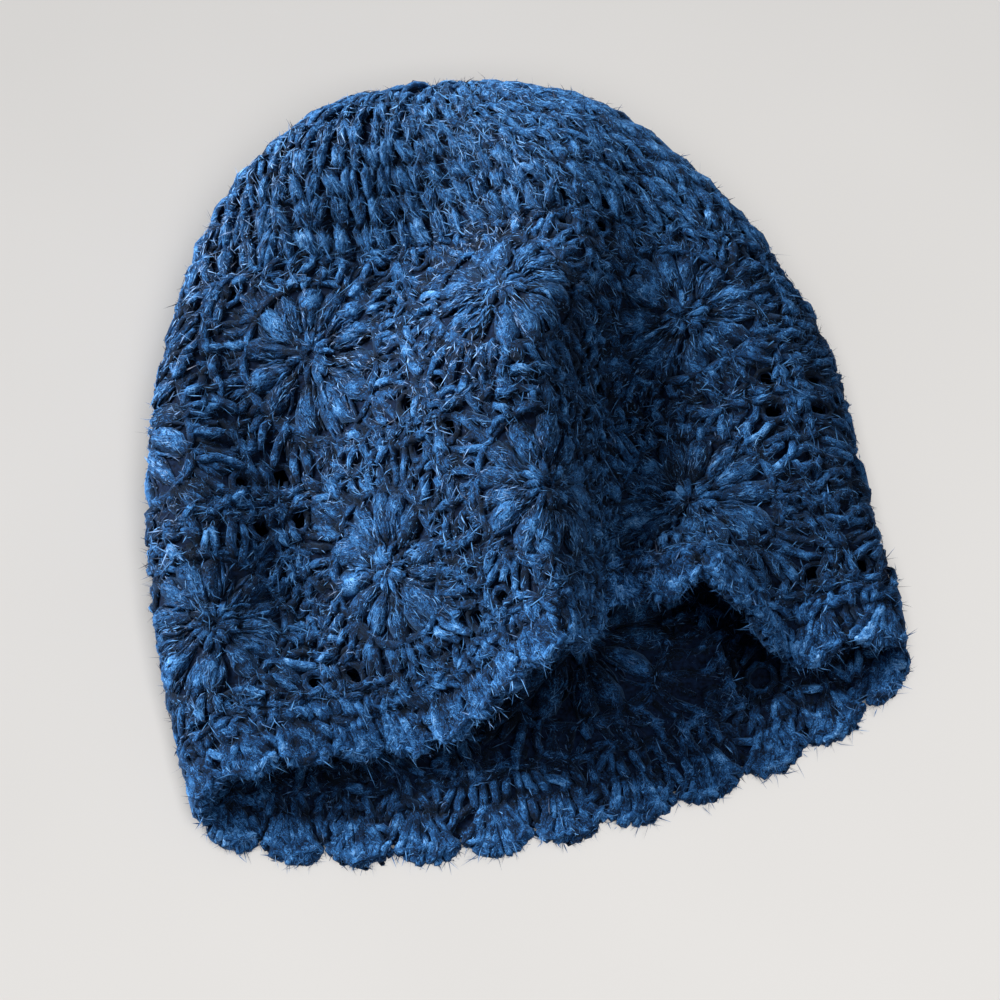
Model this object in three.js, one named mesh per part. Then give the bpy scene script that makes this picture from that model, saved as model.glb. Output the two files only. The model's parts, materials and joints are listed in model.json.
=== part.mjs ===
import * as THREE from 'three';

// A crochet hat that lies on its side, in millimetres: crown to +Y, opening to -Y, floor at z = 0.
// "down" is a place on the fabric, from the crown's centre (0) to the tips of the hem (1).
// "around" is a place along a round, from the middle of the floor side (0) over the left side,
// the upper layer and the right side back to the same place (1).

// Driving sizes
const WALL = 4.5; // thickness of the crochet fabric
const PUFF = 2; // extra thickness in the middle of each flower
const SEAM_GAP = 0.4; // between two neighbouring pieces
const FABRIC_LENGTH = 300; // along the fabric from the crown's centre to the hem
const ROUND_LENGTH = 590; // along a round of flower squares
const SCALLOP_DEPTH = 7; // from the tip of a scallop to the notch beside it
const SQUARES_AROUND = 7;
const SCALLOPS_PER_SQUARE = 4;
const FACETS_PER_SCALLOP = 4;
const FACETS_PER_SQUARE = SCALLOPS_PER_SQUARE * FACETS_PER_SCALLOP;

// Where the pieces meet, as places down the fabric
const CROWN_EDGE = 0.37;
const SEAM = 0.64;
const BASE = 0.91;
const HEM = 1;
const CROWN_RINGS = [0.035, 0.08, 0.13, 0.19, 0.25, 0.31]; // the crown's facets above its edge
const EDGING_ROWS = [0, 0.35, 0.7, 1]; // shares of the way from the squares to the hem

// Flower square: facet lines down one square, and the facets left open as its corner holes
const SQUARE_LINES = [0, 0.06, 0.13, 0.5, 0.87, 0.94, 1];
const HOLE_ROWS = [1, SQUARE_LINES.length - 3];
const HOLE_COLUMNS = [1, FACETS_PER_SQUARE - 2];

// Places around the hat where the first square starts and where the squares lie narrowest
const FIRST_SQUARE = 0.015;
const FRONT = 0.4;
const SCALLOP_SHIFT = -0.25; // of a scallop, against the squares

// The middle of the hat's box, which stands over the origin
const MIDDLE_X = 3.1;
const MIDDLE_Y = 23.8;

// Section through a round: 2 is an ellipse, and a higher number is squarer
const UPPER_ROUNDNESS = 2.8;
const FLOOR_ROUNDNESS = 4;
const FLOOR_CORNER_SHARE = 0.4; // of the way from side to floor that a hem makes at its corner
const FOLD_START = 0.12; // place down the crown where the folds begin
const FOLD_FADE = 1.6; // how soon the folds reach their full lift, away from the sides

// Rounds of the lying hat. top, floor, left and right are where a round passes the middle of
// the upper layer, the middle of the floor and the two sides. turn slides the fabric along its round,
// as a share of it, and squeeze says how much narrower the squares lie in front than on the floor.
const ROUND_COLUMNS = ['down', 'topY', 'topZ', 'floorY', 'floorZ', 'leftX', 'leftY', 'rightX', 'rightY',
  'sideZ', 'turn', 'squeeze'];
const ROUNDS = [
  [0.00, 172, 42, 172, 42, 18, 172, 18, 172, 42, -0.01, 0.04], // crown centre
  [0.12, 149, 61, 162, 10, -39, 168, 64, 152, 38, -0.01, 0.04], // end of the crown
  [0.24, 128, 66, 136, 3, -80, 141, 98, 114, 31, -0.01, 0.04], // shoulder
  [0.37, 100, 61, 98, 1.4, -106, 99, 120, 77, 24, -0.01, 0.04], // crown edge
  [0.50, 64, 54, 50, 1.4, -121, 57, 132, 43, 20, -0.006, 0.05], // middle of the upper squares
  [0.64, 20, 45, 0, 1.4, -129, 1, 135, 15, 17, 0.01, 0.14], // seam between the squares
  [0.78, -22, 37, -52, 1.4, -129, -40, 134, -22, 15, 0.018, 0.2], // middle of the lower squares
  [0.91, -58, 30, -98, 1.4, -126, -74, 136, -60, 14, 0.018, 0.2], // base of the edging
  [1.00, -80, 25, -126, 1.4, -122, -96, 133, -83, 13, 0.018, 0.2], // hem
];

// Folds of the upper layer, each given at the crown's edge, at the seam and at the hem. place is
// the fold's x, left and right are its spreads, lift raises it and pull draws it to the crown.
// from is the place down the fabric where the hem's form begins to take over.
const FOLD_COLUMNS = ['place', 'left', 'right', 'lift', 'pull'];
const FOLDS = [
  { from: 0.64, crown: [40, 44, 26, 8, 0], seam: [14, 46, 21, 34, 0], hem: [8, 26, 14, 39, 3] }, // ridge
  { from: 0.64, crown: [70, 20, 30, -4, 0], seam: [52, 17, 44, -14, 0], hem: [30, 10, 12, -2, 8] }, // valley
  { from: 0.76, crown: [76, 24, 18, 0, 0], seam: [66, 24, 18, 0, 0], hem: [64, 20, 19, 16, 24] }, // arch
  { from: 0.76, crown: [46, 14, 18, 0, 0], seam: [36, 14, 18, 0, 0], hem: [33, 13, 18, 9, 17] }, // arch shoulder
  { from: 0.8, crown: [98, 10, 16, 0, 0], seam: [98, 10, 16, 0, 0], hem: [94, 10, 16, -8, -6] }, // pleat
  { from: 0.74, crown: [-96, 20, 26, -4, 0], seam: [-75, 25, 46, -18, 0], hem: [-56, 30, 20, -5, 0] }, // dent
  { from: 0.78, crown: [-28, 44, 26, 0, 0], seam: [-26, 30, 30, 8, 0], hem: [-36, 36, 26, -9, -6] }, // bulge
  { from: 0.64, crown: [-20, 60, 40, -19, 0], seam: [-32, 28, 22, 0, 0], hem: [-32, 28, 22, 0, 0] }, // crown dip
];

const YARN_BLUE = 0x2a5a92;
const LOOP_SAMPLES = 720; // points that measure the length of a round
const DOWN_STEP = 0.015; // steps of the slopes that give the fabric's facing
const AROUND_STEP = 0.004;

const clamp = (t, low, high) => Math.min(high, Math.max(low, t));
const mix = (a, b, t) => a + (b - a) * t;

/** Eases from 0 to 1. */
function smooth(t) {
  const s = clamp(t, 0, 1);
  return s * s * (3 - 2 * s);
}

/** Slope of a table column at row i, from the rows on both sides of it. */
function columnSlope(column, i) {
  const before = Math.max(0, i - 1);
  const after = Math.min(ROUNDS.length - 1, i + 1);
  const gain = (from, to, k) => ROUNDS[to][k] - ROUNDS[from][k];
  const rise = (from, to) => gain(from, to, column) / gain(from, to, 0);
  if (before === i) return rise(i, after);
  if (after === i) return rise(before, i);
  const behind = ROUNDS[i][0] - ROUNDS[before][0];
  const ahead = ROUNDS[after][0] - ROUNDS[i][0];
  return (ahead * rise(before, i) + behind * rise(i, after)) / (ahead + behind);
}

/** A round between the table's rows: a cubic through every column. */
function roundAt(down) {
  let i = 0;
  while (i < ROUNDS.length - 2 && down >= ROUNDS[i + 1][0]) i += 1;
  const span = ROUNDS[i + 1][0] - ROUNDS[i][0];
  const t = clamp((down - ROUNDS[i][0]) / span, 0, 1);
  const round = {};
  ROUND_COLUMNS.forEach((name, column) => {
    const start = ROUNDS[i][column] * (1 + 2 * t) * (1 - t) ** 2;
    const end = ROUNDS[i + 1][column] * t * t * (3 - 2 * t);
    const leave = columnSlope(column, i) * span * t * (1 - t) ** 2;
    const arrive = columnSlope(column, i + 1) * span * t * t * (t - 1);
    round[name] = start + end + leave + arrive;
  });
  return round;
}

/** A fold's five values at a place down the fabric. */
function foldAt(fold, down) {
  const toSeam = smooth((down - CROWN_EDGE) / (SEAM - CROWN_EDGE));
  const toHem = smooth((down - fold.from) / (HEM - fold.from));
  const values = {};
  FOLD_COLUMNS.forEach((name, i) => {
    values[name] = (1 - toSeam) * fold.crown[i] + (toSeam - toHem) * fold.seam[i] + toHem * fold.hem[i];
  });
  return values;
}

/** The round's curve in the middle of the fabric, as points at even angles. */
function loopPoints(down) {
  const round = roundAt(down);
  const folds = FOLDS.map((fold) => foldAt(fold, down));
  const grown = clamp(down / CROWN_EDGE, 0, 1);
  const boxy = smooth((down - CROWN_EDGE) / (HEM - CROWN_EDGE));
  const folded = smooth((down - FOLD_START) / (CROWN_EDGE - FOLD_START));
  const middleX = (round.leftX + round.rightX) / 2;
  const halfX = (round.rightX - round.leftX) / 2;
  const middleY = (round.leftY + round.rightY) / 2;
  const halfY = (round.rightY - round.leftY) / 2;
  const points = [];
  for (let k = 0; k <= LOOP_SAMPLES; k += 1) {
    const angle = (k / LOOP_SAMPLES - 0.5) * 2 * Math.PI;
    const upper = Math.cos(angle) > 0;
    const power = 2 / mix(2, upper ? UPPER_ROUNDNESS : FLOOR_ROUNDNESS, grown);
    const across = Math.sign(Math.sin(angle)) * Math.abs(Math.sin(angle)) ** power;
    const rise = Math.abs(Math.cos(angle)) ** power;
    const corner = upper ? boxy : boxy * FLOOR_CORNER_SHARE;
    const lag = mix(1 - across * across, rise, corner);
    const x = middleX + halfX * across;
    let y = middleY + halfY * across + ((upper ? round.topY : round.floorY) - middleY) * lag;
    let z = round.sideZ + ((upper ? round.topZ : round.floorZ) - round.sideZ) * rise;
    if (upper) {
      const fade = Math.min(1, FOLD_FADE * Math.cos(angle));
      for (const fold of folds) {
        const spread = x < fold.place ? fold.left : fold.right;
        const bell = fade * Math.exp(-(((x - fold.place) / spread) ** 2));
        z += fold.lift * folded * bell;
        y += fold.pull * bell;
      }
    }
    points.push(new THREE.Vector3(x - MIDDLE_X, y - MIDDLE_Y, Math.max(z, WALL / 2)));
  }
  return { points, turn: round.turn, squeeze: round.squeeze };
}

const loops = new Map();

/** A round's points with their lengths along it, worked out once for each place down. */
function loopAt(down) {
  const key = down.toFixed(6);
  if (!loops.has(key)) {
    const { points, turn, squeeze } = loopPoints(down);
    const lengths = [0];
    for (let k = 1; k < points.length; k += 1) {
      lengths.push(lengths[k - 1] + points[k].distanceTo(points[k - 1]));
    }
    loops.set(key, { points, lengths, turn, squeeze });
  }
  return loops.get(key);
}

/** Point in the middle of the fabric. */
function fabricPoint(down, around) {
  const { points, lengths, turn, squeeze } = loopAt(down);
  const drawn = (squeeze / (2 * Math.PI)) * Math.sin(2 * Math.PI * (around - FRONT));
  const share = around - drawn + turn;
  const length = (share - Math.floor(share)) * lengths[lengths.length - 1];
  let low = 0;
  let high = lengths.length - 1;
  while (high - low > 1) {
    const half = (low + high) >> 1;
    if (lengths[half] <= length) low = half;
    else high = half;
  }
  const step = lengths[high] - lengths[low];
  return points[low].clone().lerp(points[high], step > 0 ? (length - lengths[low]) / step : 0);
}

/** Outward facing of the fabric. */
function fabricFacing(down, around) {
  const above = Math.max(DOWN_STEP, down - DOWN_STEP);
  const below = Math.min(HEM, down + DOWN_STEP);
  const along = fabricPoint(below, around).sub(fabricPoint(above, around));
  const across = fabricPoint(down, around + AROUND_STEP).sub(fabricPoint(down, around - AROUND_STEP));
  return along.cross(across).normalize();
}

/** Outer and inner points of the wall. The outer one is pressed flat where it meets the floor. */
function wallPoints({ down, around, puff = 0 }) {
  const middle = fabricPoint(down, around);
  const facing = fabricFacing(down, around);
  const outer = middle.clone().addScaledVector(facing, WALL / 2 + puff);
  const inner = middle.clone().addScaledVector(facing, -WALL / 2);
  outer.z = Math.max(outer.z, 0);
  return { outer, inner };
}

/**
 * A closed wall over a grid of facets. place(i, j) gives a grid point's place on the fabric.
 * closed joins the last column to the first, capped closes the first row to a point, and
 * isHole(i, j) leaves a facet open right through the wall.
 */
function fabricWall(name, columns, rows, place, options = {}) {
  const { closed = false, capped = false, isHole = () => false } = options;
  const stride = closed ? columns : columns + 1;
  const outer = [];
  const inner = [];
  for (let j = 0; j <= rows; j += 1) {
    for (let i = 0; i < stride; i += 1) {
      const points = wallPoints(place(i, j));
      outer.push(points.outer);
      inner.push(points.inner);
    }
  }
  const innerStart = outer.length;
  const at = (i, j) => j * stride + (i % stride);
  const triangles = [];
  const isOpen = (i, j) => {
    const column = closed ? (i + columns) % columns : i;
    return column < 0 || column >= columns || j < 0 || j >= rows || isHole(column, j);
  };
  // Rims that face each other across a seam are split along the same diagonal.
  const rim = (p, q, firstDiagonal) => {
    const [pIn, qIn] = [p + innerStart, q + innerStart];
    if (firstDiagonal) triangles.push(q, p, pIn, q, pIn, qIn);
    else triangles.push(q, p, qIn, p, pIn, qIn);
  };
  for (let j = 0; j < rows; j += 1) {
    for (let i = 0; i < columns; i += 1) {
      if (isOpen(i, j)) continue;
      const [a, b, c, d] = [at(i, j), at(i + 1, j), at(i + 1, j + 1), at(i, j + 1)];
      triangles.push(a, d, c, a, c, b);
      triangles.push(...[a, c, d, a, b, c].map((point) => point + innerStart));
      if (isOpen(i - 1, j)) rim(a, d, true);
      if (isOpen(i, j + 1)) rim(d, c, true);
      if (isOpen(i + 1, j)) rim(c, b, false);
      if (isOpen(i, j - 1) && !(capped && j === 0)) rim(b, a, false);
    }
  }
  const points = [...outer, ...inner];
  if (capped) {
    const centre = fabricPoint(0, 0);
    const facing = new THREE.Vector3();
    for (let i = 0; i < columns; i += 1) facing.add(outer[i]).sub(inner[i]);
    facing.normalize();
    const outerCentre = points.push(centre.clone().addScaledVector(facing, WALL / 2)) - 1;
    const innerCentre = points.push(centre.clone().addScaledVector(facing, -WALL / 2)) - 1;
    for (let i = 0; i < columns; i += 1) {
      triangles.push(at(i, 0), at(i + 1, 0), outerCentre);
      triangles.push(at(i + 1, 0) + innerStart, at(i, 0) + innerStart, innerCentre);
    }
  }
  const geometry = new THREE.BufferGeometry().setFromPoints(points);
  geometry.setIndex(triangles);
  geometry.computeVertexNormals();
  const material = new THREE.MeshStandardMaterial({ color: YARN_BLUE, roughness: 0.95, metalness: 0 });
  const mesh = new THREE.Mesh(geometry, material);
  mesh.name = name;
  return mesh;
}

const HALF_GAP_DOWN = SEAM_GAP / 2 / FABRIC_LENGTH;
const HALF_GAP_AROUND = SEAM_GAP / 2 / ROUND_LENGTH;

/** Place around the hat of a facet line, counted from the first square's edge. */
function facetLine(i) {
  return FIRST_SQUARE + i / (SQUARES_AROUND * FACETS_PER_SQUARE);
}

/** Crown worked in rounds from its centre to the flower squares. */
function crown() {
  const rings = [...CROWN_RINGS, CROWN_EDGE - HALF_GAP_DOWN];
  const place = (i, j) => ({ down: rings[j], around: facetLine(i) });
  return fabricWall('crown', SQUARES_AROUND * FACETS_PER_SQUARE, rings.length - 1, place, {
    closed: true,
    capped: true,
  });
}

/** One flower square with a hole at each corner, thickest in the middle of its flower. */
function flowerSquare(name, index, top, bottom) {
  const start = facetLine(index * FACETS_PER_SQUARE) + HALF_GAP_AROUND;
  const end = facetLine((index + 1) * FACETS_PER_SQUARE) - HALF_GAP_AROUND;
  const place = (i, j) => {
    const across = i / FACETS_PER_SQUARE;
    const along = SQUARE_LINES[j];
    return {
      down: mix(top + HALF_GAP_DOWN, bottom - HALF_GAP_DOWN, along),
      around: mix(start, end, across),
      puff: PUFF * Math.sin(Math.PI * across) * Math.sin(Math.PI * along),
    };
  };
  const isHole = (i, j) => HOLE_COLUMNS.includes(i) && HOLE_ROWS.includes(j);
  return fabricWall(name, FACETS_PER_SQUARE, SQUARE_LINES.length - 1, place, { isHole });
}

/** Edging of shells whose round ends make the scalloped hem. */
function shellEdging() {
  const depth = SCALLOP_DEPTH / FABRIC_LENGTH;
  const place = (i, j) => {
    const around = facetLine(i);
    const scallop = Math.abs(Math.sin(Math.PI * (i / FACETS_PER_SCALLOP + SCALLOP_SHIFT)));
    const end = HEM - depth * (1 - scallop);
    return { down: mix(BASE + HALF_GAP_DOWN, end, EDGING_ROWS[j]), around };
  };
  const facets = SQUARES_AROUND * FACETS_PER_SQUARE;
  return fabricWall('shell_edging', facets, EDGING_ROWS.length - 1, place, { closed: true });
}

const hat = new THREE.Group();
hat.add(crown());
for (let index = 0; index < SQUARES_AROUND; index += 1) {
  hat.add(flowerSquare(`flower_square_upper_${index + 1}`, index, CROWN_EDGE, SEAM));
  hat.add(flowerSquare(`flower_square_lower_${index + 1}`, index, SEAM, BASE));
}
hat.add(shellEdging());

export default hat;
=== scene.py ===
# %% [markdown]
# # A crochet hat with a scalloped hem
# The hat is a soft shell of fuzzy blue yarn that lies on its side. Its crown is worked in rounds, two rings
# of flower squares make its sides, and shells of long stitches edge its opening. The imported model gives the
# folded wall of each piece. This lesson lays strands of yarn over that wall, stitch by stitch, and then
# brushes them with fine fibres.

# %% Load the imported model
import json

import bpy
import numpy as np
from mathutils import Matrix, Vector

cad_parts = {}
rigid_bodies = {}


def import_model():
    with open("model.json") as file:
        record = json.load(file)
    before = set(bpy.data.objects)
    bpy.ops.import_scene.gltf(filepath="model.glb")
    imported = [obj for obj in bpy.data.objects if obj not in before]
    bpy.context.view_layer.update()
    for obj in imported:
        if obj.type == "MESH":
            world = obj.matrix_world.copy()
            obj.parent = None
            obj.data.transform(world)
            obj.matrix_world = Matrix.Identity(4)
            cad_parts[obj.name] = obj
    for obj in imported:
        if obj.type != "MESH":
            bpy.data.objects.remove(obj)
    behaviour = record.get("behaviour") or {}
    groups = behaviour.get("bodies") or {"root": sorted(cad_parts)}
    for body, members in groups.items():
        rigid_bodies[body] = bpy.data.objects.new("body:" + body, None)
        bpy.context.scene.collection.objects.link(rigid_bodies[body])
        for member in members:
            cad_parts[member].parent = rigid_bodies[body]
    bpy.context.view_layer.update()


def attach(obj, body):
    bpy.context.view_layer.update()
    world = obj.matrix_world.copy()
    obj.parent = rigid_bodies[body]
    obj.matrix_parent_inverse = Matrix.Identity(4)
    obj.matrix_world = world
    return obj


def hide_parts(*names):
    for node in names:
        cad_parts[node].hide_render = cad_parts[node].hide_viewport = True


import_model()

rng = np.random.default_rng(11)

# %% [markdown]
# ## The folded fabric
# A place on the fabric has two numbers. "down" runs from the crown's centre (0) to the hem (1), and "around"
# runs once round the hat from the middle of the floor side. The tables hold the same rounds and folds as the
# part, so that every stitch sits in the wall of its own node. All sizes here are in millimetres.

# %% Sizes and tables of the fabric
WALL = 4.5
CROWN_EDGE, SEAM, BASE, HEM = 0.37, 0.64, 0.91, 1.0
SQUARES, SCALLOPS = 7, 28
FIRST_SQUARE, FRONT = 0.015, 0.4
MIDDLE = np.array([3.1, 23.8, 0.0])
UPPER_ROUNDNESS, FLOOR_ROUNDNESS, FLOOR_CORNER_SHARE = 2.8, 4.0, 0.4
FOLD_START, FOLD_FADE = 0.12, 1.6

ROUND_COLUMNS = ["down", "top_y", "top_z", "floor_y", "floor_z", "left_x", "left_y", "right_x", "right_y",
                 "side_z", "turn", "squeeze"]
ROUNDS = np.array([
    [0.00, 172, 42, 172, 42, 18, 172, 18, 172, 42, -0.01, 0.04],
    [0.12, 149, 61, 162, 10, -39, 168, 64, 152, 38, -0.01, 0.04],
    [0.24, 128, 66, 136, 3, -80, 141, 98, 114, 31, -0.01, 0.04],
    [0.37, 100, 61, 98, 1.4, -106, 99, 120, 77, 24, -0.01, 0.04],
    [0.50, 64, 54, 50, 1.4, -121, 57, 132, 43, 20, -0.006, 0.05],
    [0.64, 20, 45, 0, 1.4, -129, 1, 135, 15, 17, 0.01, 0.14],
    [0.78, -22, 37, -52, 1.4, -129, -40, 134, -22, 15, 0.018, 0.2],
    [0.91, -58, 30, -98, 1.4, -126, -74, 136, -60, 14, 0.018, 0.2],
    [1.00, -80, 25, -126, 1.4, -122, -96, 133, -83, 13, 0.018, 0.2],
])
# Each fold: where the hem's form begins, then (place, left, right, lift, pull) at crown edge, seam and hem.
FOLDS = {
    "ridge": [0.64, (40, 44, 26, 8, 0), (14, 46, 21, 34, 0), (8, 26, 14, 39, 3)],
    "valley": [0.64, (70, 20, 30, -4, 0), (52, 17, 44, -14, 0), (30, 10, 12, -2, 8)],
    "arch": [0.76, (76, 24, 18, 0, 0), (66, 24, 18, 0, 0), (64, 20, 19, 16, 24)],
    "arch shoulder": [0.76, (46, 14, 18, 0, 0), (36, 14, 18, 0, 0), (33, 13, 18, 9, 17)],
    "pleat": [0.8, (98, 10, 16, 0, 0), (98, 10, 16, 0, 0), (94, 10, 16, -8, -6)],
    "dent": [0.74, (-96, 20, 26, -4, 0), (-75, 25, 46, -18, 0), (-56, 30, 20, -5, 0)],
    "bulge": [0.78, (-28, 44, 26, 0, 0), (-26, 30, 30, 8, 0), (-36, 36, 26, -9, -6)],
    "crown dip": [0.64, (-20, 60, 40, -19, 0), (-32, 28, 22, 0, 0), (-32, 28, 22, 0, 0)],
}
print("rounds in the table:", len(ROUNDS), "folds:", list(FOLDS))


# %% Rounds and folds
def smooth(t):
    """Eases from 0 to 1: three times t squared less twice t cubed."""
    t = np.clip(t, 0, 1)
    return t * t * (3 - 2 * t)


def rounds_at(down):
    """A cubic through every column of the table, with the slope at a row taken from the rows beside it."""
    at, slope = ROUNDS[:, 0], np.gradient(ROUNDS, ROUNDS[:, 0], axis=0)
    i = np.clip(np.searchsorted(at, down, side="right") - 1, 0, len(at) - 2)
    span = (at[i + 1] - at[i])[:, None]
    t = (down[:, None] - at[i][:, None]) / span
    values = ((1 + 2 * t) * (1 - t) ** 2 * ROUNDS[i] + t * t * (3 - 2 * t) * ROUNDS[i + 1]
              + t * (1 - t) ** 2 * span * slope[i] + t * t * (t - 1) * span * slope[i + 1])
    return dict(zip(ROUND_COLUMNS, values.T[:, :, None]))


def loops_at(down, angle):
    """Rounds of the lying hat: two half superellipses through top, sides and floor, plus bells as folds."""
    g = rounds_at(down)
    upper = (np.cos(angle) > 0)[None]
    grown = np.clip(g["down"] / CROWN_EDGE, 0, 1)
    power = 2 / (2 + (np.where(upper, UPPER_ROUNDNESS, FLOOR_ROUNDNESS) - 2) * grown)
    across = np.sign(np.sin(angle)) * np.abs(np.sin(angle)) ** power
    rise = np.abs(np.cos(angle)) ** power
    boxy = smooth((g["down"] - CROWN_EDGE) / (HEM - CROWN_EDGE)) * np.where(upper, 1, FLOOR_CORNER_SHARE)
    lag = (1 - boxy) * (1 - across ** 2) + boxy * rise
    middle_y = (g["left_y"] + g["right_y"]) / 2
    x = (g["left_x"] + g["right_x"]) / 2 + (g["right_x"] - g["left_x"]) / 2 * across
    y = middle_y + (g["right_y"] - g["left_y"]) / 2 * across
    y = y + (np.where(upper, g["top_y"], g["floor_y"]) - middle_y) * lag
    z = g["side_z"] + (np.where(upper, g["top_z"], g["floor_z"]) - g["side_z"]) * rise
    folded = smooth((g["down"] - FOLD_START) / (CROWN_EDGE - FOLD_START))
    to_seam = smooth((g["down"] - CROWN_EDGE) / (SEAM - CROWN_EDGE))
    fade = np.minimum(1, FOLD_FADE * np.abs(np.cos(angle))) * upper
    for begin, crown, seam, hem in FOLDS.values():
        to_hem = smooth((g["down"] - begin) / (HEM - begin))
        place, left, right, lift, pull = [
            (1 - to_seam) * c + (to_seam - to_hem) * s + to_hem * h for c, s, h in zip(crown, seam, hem)]
        bell = fade * np.exp(-((x - place) / np.where(x < place, left, right)) ** 2)
        z = z + lift * folded * bell
        y = y + pull * bell
    return np.stack([x, y, np.maximum(z, WALL / 2)], -1) - MIDDLE, g["turn"][:, 0], g["squeeze"][:, 0]


print("crown's centre, mm:", loops_at(np.zeros(1), np.zeros(1))[0][0, 0].tolist())


# %% The fabric as a surface of two parameters
GRID_ROWS, GRID_COLUMNS, LOOP_POINTS = 501, 1400, 2401


def fabric_grid(rows, columns):
    """Middle of the fabric and its outward facing, at even steps down and even lengths around each round."""
    down, share = np.linspace(0, 1, rows), np.linspace(0, 1, columns + 1)
    loops, turn, squeeze = loops_at(down, np.linspace(-np.pi, np.pi, LOOP_POINTS))
    steps = np.linalg.norm(np.diff(loops, axis=1), axis=2)
    length = np.concatenate([np.zeros((rows, 1)), np.cumsum(steps, axis=1)], axis=1)
    drawn = share - squeeze[:, None] / (2 * np.pi) * np.sin(2 * np.pi * (share - FRONT)) + turn[:, None]
    want = (drawn % 1) * length[:, -1:]
    place = np.stack([[np.interp(w, l, p[:, k]) for w, l, p in zip(want, length, loops)]
                      for k in range(3)], -1)
    wrapped = np.concatenate([place[:, -3:-1], place, place[:, 1:3]], axis=1)
    facing = np.cross(np.gradient(wrapped, axis=0), np.gradient(wrapped, axis=1))[:, 2:-2]
    facing[0] = facing[2].mean(axis=0)
    facing[1] = facing[2]
    facing /= np.linalg.norm(facing, axis=2, keepdims=True)
    return place, facing, length[:, -1]


PLACE, FACING, ROUND_LENGTH = fabric_grid(GRID_ROWS, GRID_COLUMNS)
PER_MM_DOWN = 1 / 285


def on_fabric(around, down, out):
    """Point and facing at a place on the fabric, raised by out, from the four grid points around it."""
    v = np.clip(down, 0, 1) * (GRID_ROWS - 1)
    u = (around % 1) * GRID_COLUMNS
    i = np.minimum(v.astype(int), GRID_ROWS - 2)
    j = np.minimum(u.astype(int), GRID_COLUMNS - 1)
    a, b = (v - i)[..., None], (u - j)[..., None]

    def between(grid):
        return ((1 - a) * ((1 - b) * grid[i, j] + b * grid[i, j + 1])
                + a * ((1 - b) * grid[i + 1, j] + b * grid[i + 1, j + 1]))

    up = between(FACING)
    up = up / np.linalg.norm(up, axis=-1, keepdims=True)
    return between(PLACE) + up * out[..., None], up


def per_mm_around(down):
    """Share of a round that one millimetre takes."""
    return 1 / np.interp(down, np.linspace(0, 1, GRID_ROWS), ROUND_LENGTH).clip(20)


print("rounds, mm:", np.round(ROUND_LENGTH[[125, 185, 320, 455, 500]]).tolist())

# %% [markdown]
# ## Strands of yarn
# Crochet is one long yarn pulled through itself, but the eye reads it as many short strands that come up,
# cross and dive. So each stitch is a few short paths over the fabric. A path carries a ring of four to eight
# points and becomes a tube. Every tube keeps where along it and where around it a point lies, so that the
# yarn's fibres can be drawn along the strand whichever way it runs. Brushed yarn has no sharp edge between
# light and shade, so a strand faces partly the way that the fabric does.

# %% From paths to tubes
SOFTNESS = 1.5  # how much more a strand's facing follows the fabric than its own round section
YARN, FIBRE, FELT = 0, 1, 2  # the finishes in the order in which a piece holds them


def unit(vectors):
    """Vectors brought to length one along the last axis."""
    return vectors / np.linalg.norm(vectors, axis=-1, keepdims=True).clip(1e-6)


def carried_frame(middle, up):
    """Directions along, aside and outwards at every point of every path.

    The first aside direction lies in the fabric. Each next one is the one before it, less its part along the
    path, so that a strand that turns over the hem isn't wrung.
    """
    along = unit(np.gradient(middle, axis=1))
    side = np.empty_like(along)
    last = np.cross(along[:, 0], up[:, 0])
    for k in range(middle.shape[1]):
        last = unit(last - along[:, k] * (last * along[:, k]).sum(axis=1, keepdims=True))
        side[:, k] = last
    return along, side, np.cross(side, along)


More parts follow.
